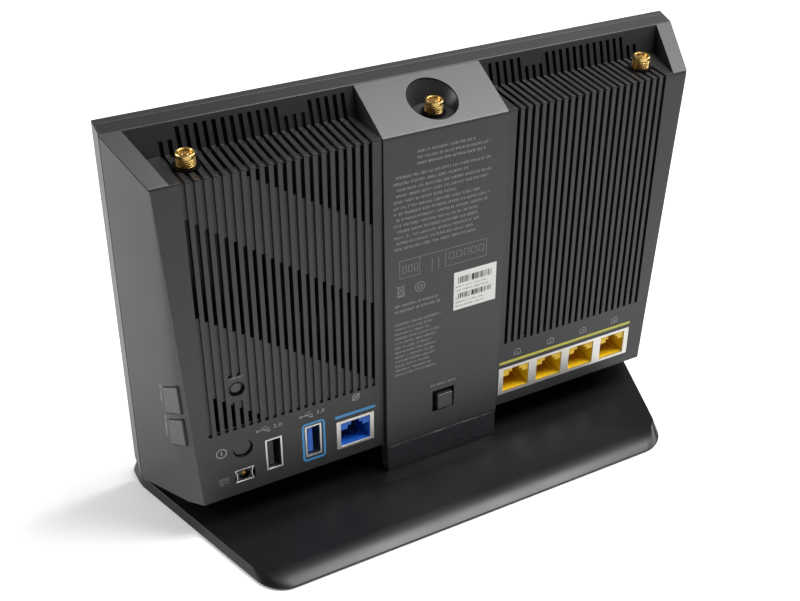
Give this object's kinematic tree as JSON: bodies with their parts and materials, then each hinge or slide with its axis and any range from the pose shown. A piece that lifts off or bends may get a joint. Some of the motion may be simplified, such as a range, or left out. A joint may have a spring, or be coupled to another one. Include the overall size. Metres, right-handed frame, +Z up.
{
  "type": "wireless router",
  "caption": "Upright wireless router on a flat weighted stand, with slotted rear, network, USB and power sockets, threaded antenna connectors and push buttons.",
  "frame": {"origin": "on the table, under the middle of the stand", "axes": "+Z up, +Y towards the rear with the sockets, +X towards the power socket's end"},
  "size_m": [0.22, 0.0834, 0.1533],
  "materials": {
    "black_plastic": "fine spark-eroded texture",
    "panel_plastic": "fine texture",
    "spine_plastic": "satin",
    "gloss_black": "polished",
    "clear_plastic": "clear",
    "smoked_plastic": "smoked",
    "diffuser": "milky",
    "rubber": "matt",
    "steel": "zinc plated",
    "tin": "tin plated",
    "weight_steel": "mill finish",
    "board": "solder mask over glass fibre",
    "alu": "extruded",
    "chip": "moulded",
    "gold": "gold plated",
    "dark_ring": "black plated",
    "ptfe": "plain",
    "yellow": "plain",
    "blue": "plain",
    "blue_print": "printed",
    "yellow_print": "printed",
    "black_insert": "plain",
    "button_plastic": "satin",
    "switch_plastic": "plain",
    "lead_jacket": "extruded",
    "can": "shrink sleeve",
    "paper": "printed"
  },
  "bodies": {
    "casing": {"front_cover": "black_plastic", "front_panel": "panel_plastic", "led_lens": "smoked_plastic", "light_guide": "diffuser", "rear_shell": "black_plastic", "spine_cover": "spine_plastic", "clear_block": "clear_plastic", "stand_base": "gloss_black", "stand_weight": "weight_steel", "stand_cover": "black_insert", "stand_neck": "gloss_black", "rubber_feet": "rubber", "stand_screws": "steel", "main_board": "board", "board_screws": "steel", "case_screws": "steel", "heatsink_large": "alu", "heatsink_small": "alu", "processor": "chip", "radio_chips": "chip", "shield_can_left": "tin", "shield_can_right": "tin", "capacitors": "can", "lan_shield": "tin", "lan_housing_1": "yellow", "lan_housing_2": "yellow", "lan_housing_3": "yellow", "lan_housing_4": "yellow", "lan_contacts": "gold", "wan_shield": "tin", "wan_housing": "blue", "wan_contacts": "gold", "usb2_shell": "tin", "usb2_tongue": "black_insert", "usb3_shell": "tin", "usb3_tongue": "blue", "usb3_frame": "blue_print", "wan_stripe": "blue_print", "lan_stripe": "yellow_print", "dc_jack": "black_insert", "dc_rim": "tin", "dc_pin": "gold", "power_switch": "switch_plastic", "reset_switch": "switch_plastic", "led_switch": "switch_plastic", "side_switch_board": "board", "antenna_connector_left": "gold", "antenna_connector_right": "gold", "antenna_connector_centre": "gold", "antenna_insulators": "ptfe", "antenna_rings": "dark_ring", "antenna_lead_left": "lead_jacket", "antenna_lead_right": "lead_jacket", "antenna_lead_centre": "lead_jacket", "barcode_label": "paper"},
    "power_key": {"power_button": "button_plastic"},
    "reset_key": {"reset_button": "button_plastic"},
    "led_key": {"led_button": "button_plastic"},
    "wps_key": {"wps_button": "button_plastic"},
    "wifi_key": {"wifi_button": "button_plastic"}
  },
  "joints": [
    {"name": "power_press", "type": "slide", "parent": "casing", "child": "power_key", "axis": [0, -0.9966, -0.0819], "range_m": [0, 0.002], "stiffness_N_per_m": 300},
    {"name": "reset_press", "type": "slide", "parent": "casing", "child": "reset_key", "axis": [0, -0.9966, -0.0819], "range_m": [0, 0.0008], "stiffness_N_per_m": 400},
    {"name": "led_press", "type": "slide", "parent": "casing", "child": "led_key", "axis": [0, -0.9954, -0.0954], "range_m": [0, 0.0012], "stiffness_N_per_m": 400},
    {"name": "wps_press", "type": "slide", "parent": "casing", "child": "wps_key", "axis": [-0.9421, -0.3355, 0], "range_m": [0, 0.0008], "stiffness_N_per_m": 400},
    {"name": "wifi_press", "type": "slide", "parent": "casing", "child": "wifi_key", "axis": [-0.9421, -0.3355, 0], "range_m": [0, 0.0008], "stiffness_N_per_m": 400}
  ]
}
